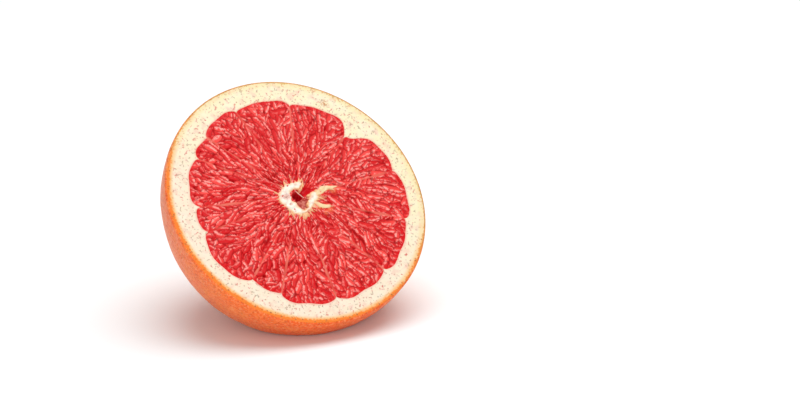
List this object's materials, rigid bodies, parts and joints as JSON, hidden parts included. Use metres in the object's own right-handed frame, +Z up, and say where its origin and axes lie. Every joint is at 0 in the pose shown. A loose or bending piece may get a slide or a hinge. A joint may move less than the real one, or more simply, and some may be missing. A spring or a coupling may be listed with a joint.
{
  "type": "grapefruit half",
  "caption": "Half a pink grapefruit, cut across its middle, resting tilted on its rind to show the pulp, pith and core.",
  "frame": {"origin": "centre of the bounding box's base, on the floor that the half rests on", "axes": "+X across the cut face, -Y towards the side that the cut face leans to, +Z up"},
  "size_m": [0.112, 0.0926, 0.0874],
  "materials": {
    "peel": "waxy orange rind with fine pores",
    "pith": "spongy cream pith",
    "pulp": "wet red juice sacs"
  },
  "bodies": {
    "root": {"grapefruit_half": "peel"}
  },
  "joints": []
}
